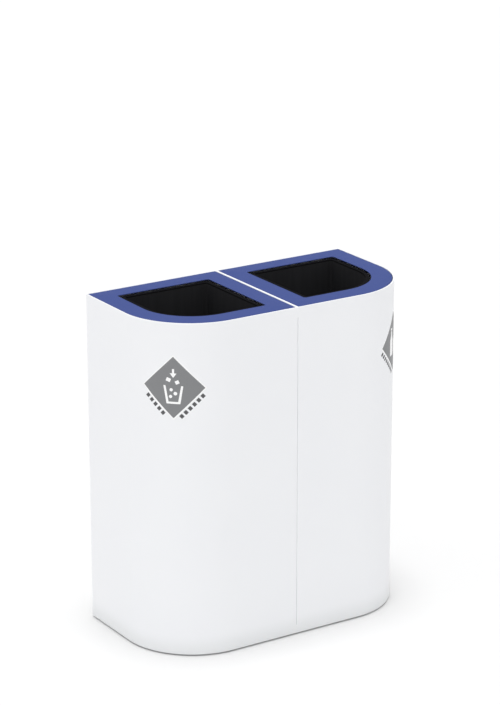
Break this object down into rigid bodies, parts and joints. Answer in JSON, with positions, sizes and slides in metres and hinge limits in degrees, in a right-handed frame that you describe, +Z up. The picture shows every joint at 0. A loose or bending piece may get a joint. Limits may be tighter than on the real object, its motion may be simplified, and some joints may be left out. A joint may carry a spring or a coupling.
{
  "type": "double recycling bin",
  "caption": "Free-standing double recycling bin of sheet steel with rounded front corners, a hinged flush lid with an open mouth on each side, and lift-out liners.",
  "frame": {"origin": "on the floor, at the centre of the plan, midway between the two modules and between front and back", "axes": "+X to the right along the front, +Y from the front to the flat back, +Z up"},
  "size_m": [0.66, 0.33, 0.755],
  "materials": {
    "white_powder_coat": "fine satin powder coat",
    "blue_powder_coat": "satin powder coat",
    "black_plastic": "fine matt grain",
    "black_rubber": "matt",
    "zinc_steel": "bright zinc plate",
    "label_vinyl": "satin adhesive vinyl"
  },
  "bodies": {
    "body": {"shell_left": "white_powder_coat", "shell_right": "white_powder_coat", "base_pan_left": "white_powder_coat", "base_pan_right": "white_powder_coat", "foot_left_rear_outer": "black_plastic", "foot_left_rear_centre": "black_plastic", "foot_left_front_centre": "black_plastic", "foot_left_round_corner": "black_plastic", "foot_right_rear_outer": "black_plastic", "foot_right_rear_centre": "black_plastic", "foot_right_front_centre": "black_plastic", "foot_right_round_corner": "black_plastic", "liner_guide_left_front": "zinc_steel", "liner_guide_left_rear": "zinc_steel", "liner_guide_right_front": "zinc_steel", "liner_guide_right_rear": "zinc_steel", "lid_rest_left_front": "white_powder_coat", "lid_rest_left_side": "white_powder_coat", "lid_rest_left_centre": "white_powder_coat", "lid_rest_right_front": "white_powder_coat", "lid_rest_right_side": "white_powder_coat", "lid_rest_right_centre": "white_powder_coat", "lid_bumper_left_front": "black_rubber", "lid_bumper_left_side": "black_rubber", "lid_bumper_left_centre": "black_rubber", "lid_bumper_right_front": "black_rubber", "lid_bumper_right_side": "black_rubber", "lid_bumper_right_centre": "black_rubber", "hinge_bracket_left_centre": "white_powder_coat", "hinge_bracket_left_outer": "white_powder_coat", "hinge_bracket_right_centre": "white_powder_coat", "hinge_bracket_right_outer": "white_powder_coat", "hinge_pin_left_centre": "zinc_steel", "hinge_pin_left_outer": "zinc_steel", "hinge_pin_right_centre": "zinc_steel", "hinge_pin_right_outer": "zinc_steel", "joining_bolt_1": "zinc_steel", "joining_bolt_2": "zinc_steel", "joining_bolt_3": "zinc_steel", "joining_bolt_4": "zinc_steel", "joining_nut_1": "zinc_steel", "joining_nut_2": "zinc_steel", "joining_nut_3": "zinc_steel", "joining_nut_4": "zinc_steel"},
    "lid_left": {"lid_left": "blue_powder_coat", "hinge_leaf_left_centre": "blue_powder_coat", "hinge_leaf_left_outer": "blue_powder_coat"},
    "lid_right": {"lid_right": "blue_powder_coat", "hinge_leaf_right_centre": "blue_powder_coat", "hinge_leaf_right_outer": "blue_powder_coat"},
    "liner_left": {"liner_left": "black_plastic"},
    "liner_right": {"liner_right": "black_plastic"}
  },
  "joints": [
    {"name": "lid_left_hinge", "type": "hinge", "parent": "body", "child": "lid_left", "pos_m": [-0.165, 0.148, 0.7499], "axis": [-1, 0, 0], "range_deg": [0, 105]},
    {"name": "lid_right_hinge", "type": "hinge", "parent": "body", "child": "lid_right", "pos_m": [0.165, 0.148, 0.7499], "axis": [-1, 0, 0], "range_deg": [0, 105]},
    {"name": "liner_left_lift", "type": "slide", "parent": "body", "child": "liner_left", "axis": [0, 0, 1], "range_m": [0, 0.76]},
    {"name": "liner_right_lift", "type": "slide", "parent": "body", "child": "liner_right", "axis": [0, 0, 1], "range_m": [0, 0.76]}
  ]
}
